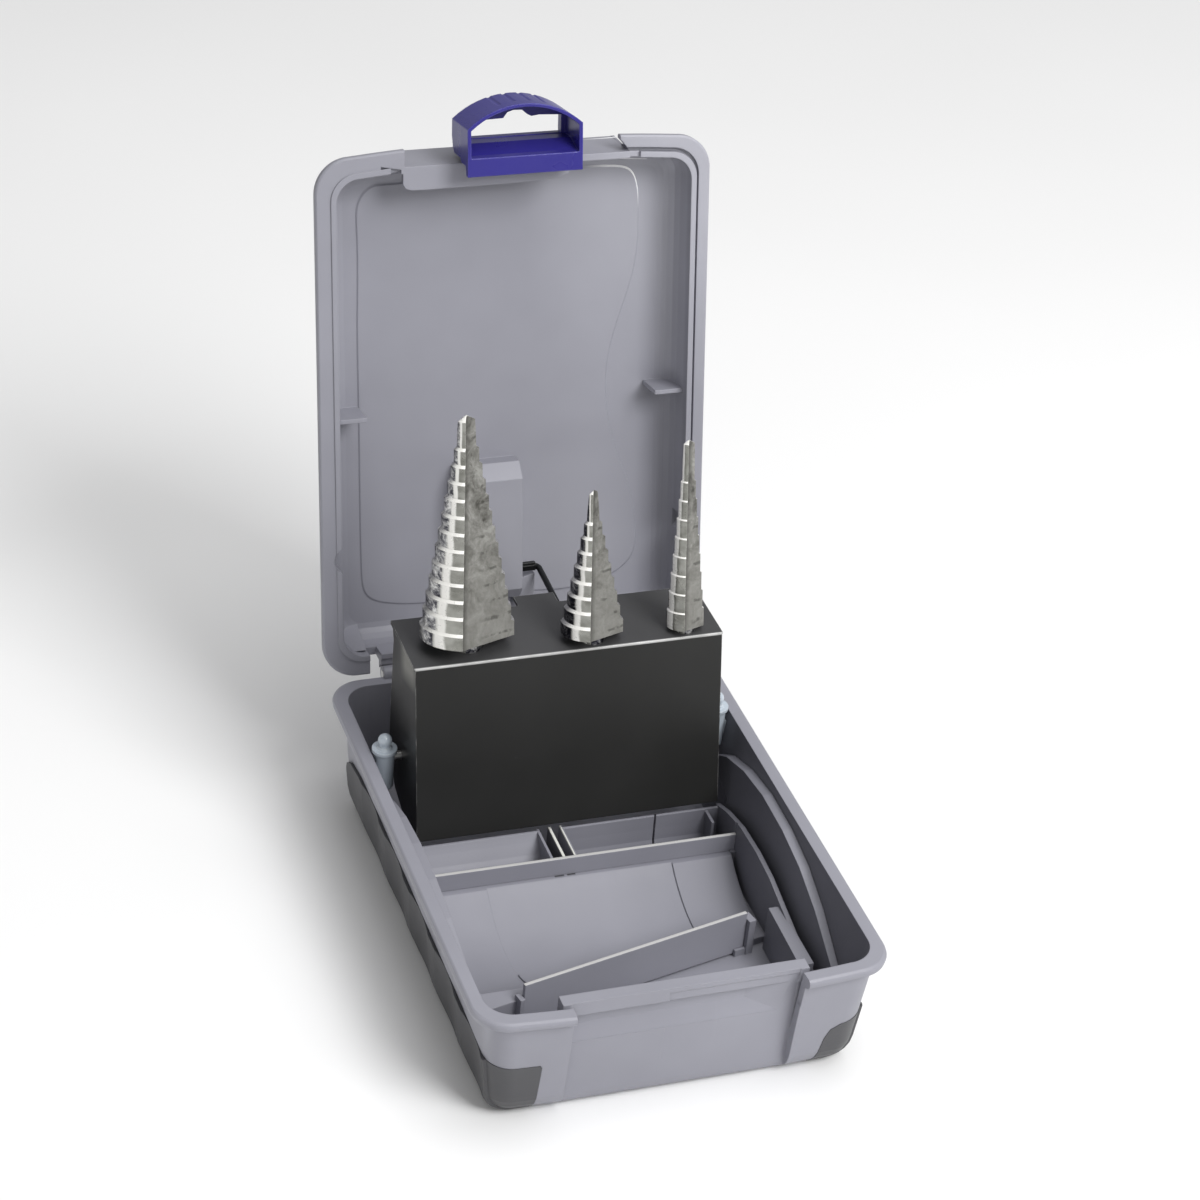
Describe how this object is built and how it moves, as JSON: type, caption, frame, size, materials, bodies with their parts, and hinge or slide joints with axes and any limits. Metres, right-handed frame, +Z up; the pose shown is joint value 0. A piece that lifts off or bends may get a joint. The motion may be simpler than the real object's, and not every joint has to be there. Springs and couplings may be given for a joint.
{
  "type": "drill bit case",
  "caption": "Moulded drill bit case, lid open, with a swing latch loop, a tilting rack of step drills that rises with the lid, and divided compartments.",
  "frame": {"origin": "centre of the case's underside", "axes": "+X right, -Y front (latch side), +Y hinge side, +Z up"},
  "size_m": [0.132, 0.2333, 0.2301],
  "materials": {
    "case": "matt moulded",
    "grip": "matt",
    "rack": "semi-matt black",
    "latch": "satin",
    "drill": "ground, bright",
    "rod": "semi-matt black",
    "post": "glossy",
    "pin": "plain"
  },
  "bodies": {
    "base": {"base_shell": "case", "grip_left": "grip", "grip_right": "grip", "hinge_pin_left": "pin", "hinge_pin_right": "pin", "pivot_bearing_left": "post", "pivot_bearing_right": "post", "pivot_pin_left": "pin", "pivot_pin_right": "pin", "compartment_tray": "case", "divider_rear": "case", "divider_diagonal": "case"},
    "lid": {"lid_shell": "case", "latch_pin": "pin"},
    "latch": {"latch_handle": "latch"},
    "rack": {"drill_rack": "rack", "shank_plate": "rack"},
    "link": {"lift_link": "rod"},
    "drill_large": {"step_drill_large": "drill"},
    "drill_medium": {"step_drill_medium": "drill"},
    "drill_small": {"step_drill_small": "drill"}
  },
  "joints": [
    {"name": "lid_hinge", "type": "hinge", "parent": "base", "child": "lid", "pos_m": [0, 0.089, 0.042], "axis": [-1, 0, 0], "range_deg": [-103.2, 0]},
    {"name": "rack_tilt", "type": "hinge", "parent": "base", "child": "rack", "pos_m": [0, 0.0475, 0.04], "axis": [-1, 0, 0], "range_deg": [-103.3, 0.1]},
    {"name": "link_pivot", "type": "hinge", "parent": "lid", "child": "link", "pos_m": [0, 0.10353, 0.06889], "axis": [-1, 0, 0], "range_deg": [-0.1, 103.3]},
    {"name": "latch_hinge", "type": "hinge", "parent": "lid", "child": "latch", "pos_m": [0, 0.13288, 0.21156], "axis": [-1, 0, 0], "range_deg": [0, 75]},
    {"name": "drill_large_slide", "type": "slide", "parent": "rack", "child": "drill_large", "axis": [0, 0.2284, 0.9736], "range_m": [0, 0.03]},
    {"name": "drill_medium_slide", "type": "slide", "parent": "rack", "child": "drill_medium", "axis": [0, 0.2284, 0.9736], "range_m": [0, 0.03]},
    {"name": "drill_small_slide", "type": "slide", "parent": "rack", "child": "drill_small", "axis": [0, 0.2284, 0.9736], "range_m": [0, 0.03]}
  ],
  "couplings": [
    {"joint": "rack_tilt", "follows": "lid_hinge", "ratio": 1},
    {"joint": "link_pivot", "follows": "lid_hinge", "ratio": -1}
  ]
}
